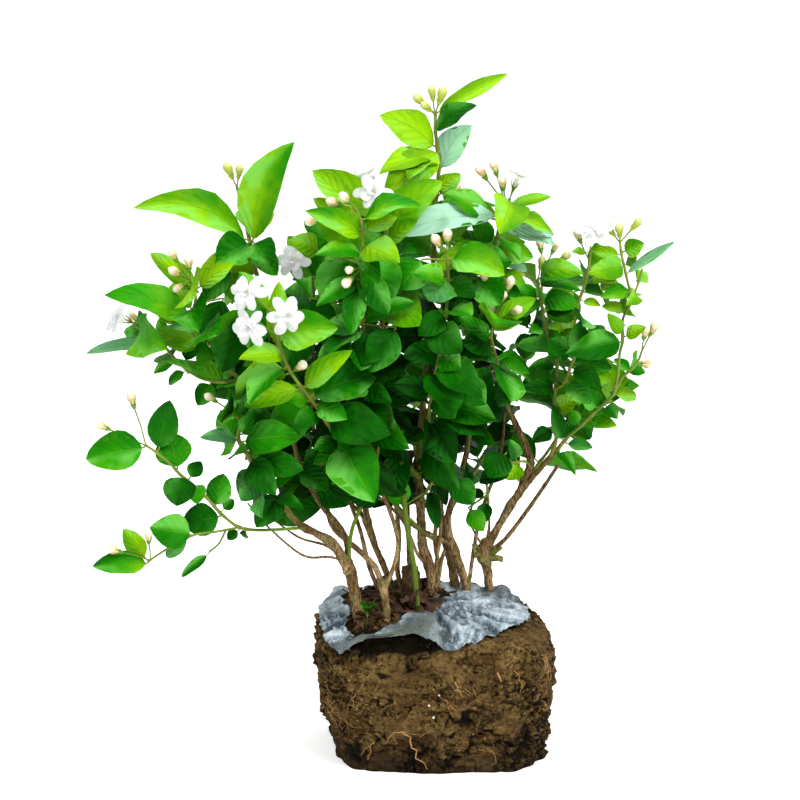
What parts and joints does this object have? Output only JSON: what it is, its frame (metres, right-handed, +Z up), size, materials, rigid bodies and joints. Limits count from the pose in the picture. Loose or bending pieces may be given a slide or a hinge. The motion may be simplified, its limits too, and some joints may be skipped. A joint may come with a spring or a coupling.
{
  "type": "root-balled jasmine plant",
  "caption": "Bushy double-flowered jasmine standing free on its bare root ball, with glossy leaves on thin shoots, white blooms, buds, and torn film over the soil.",
  "frame": {"origin": "centre of the root ball's flat underside", "axes": "+Z up along the stems, -Y towards the front seen in the picture, +X to its right"},
  "size_m": [0.4149, 0.2594, 0.4899],
  "materials": {
    "leaf": "glossy living leaf, from young yellow-green to dark green",
    "bark": "rough tan-brown bark",
    "soil": "dull crumbling soil held by roots",
    "film": "crinkled, dusty grey-blue plastic film",
    "petal": "soft white petal"
  },
  "bodies": {
    "root": {"root_ball": "soil", "nursery_film": "film", "stem_left": "bark", "stem_front": "bark", "stump": "bark", "stem_middle": "bark", "stem_dark_back": "bark", "stem_twin_back": "bark", "stem_twin_front": "bark", "stem_right": "bark", "top_shoot": "leaf", "upper_left_shoot": "leaf", "left_bud_shoot": "leaf", "left_low_shoot": "leaf", "left_dark_shoot": "leaf", "lower_left_spray": "leaf", "bottom_left_spray": "leaf", "front_left_shoot": "leaf", "centre_shoot": "leaf", "centre_left_shoot": "leaf", "front_middle_shoot": "leaf", "right_centre_shoot": "leaf", "front_bud_shoot": "leaf", "right_flower_shoot": "leaf", "right_tall_shoot": "leaf", "right_low_shoot": "leaf", "right_outer_shoot": "leaf", "inner_right_shoot": "leaf", "low_right_twig": "leaf", "centre_right_shoot": "leaf", "low_centre_twig": "leaf", "inner_left_shoot": "leaf", "back_left_shoot": "leaf", "back_low_left_shoot": "leaf", "back_shoot": "leaf", "back_far_shoot": "leaf", "back_right_shoot": "leaf", "back_right_low_shoot": "leaf", "bloom_1": "petal", "bloom_2": "petal", "bloom_3": "petal", "bloom_4": "petal", "bloom_5": "petal", "bloom_6": "petal", "bloom_7": "petal", "bloom_8": "petal", "bloom_9": "petal"}
  },
  "joints": []
}
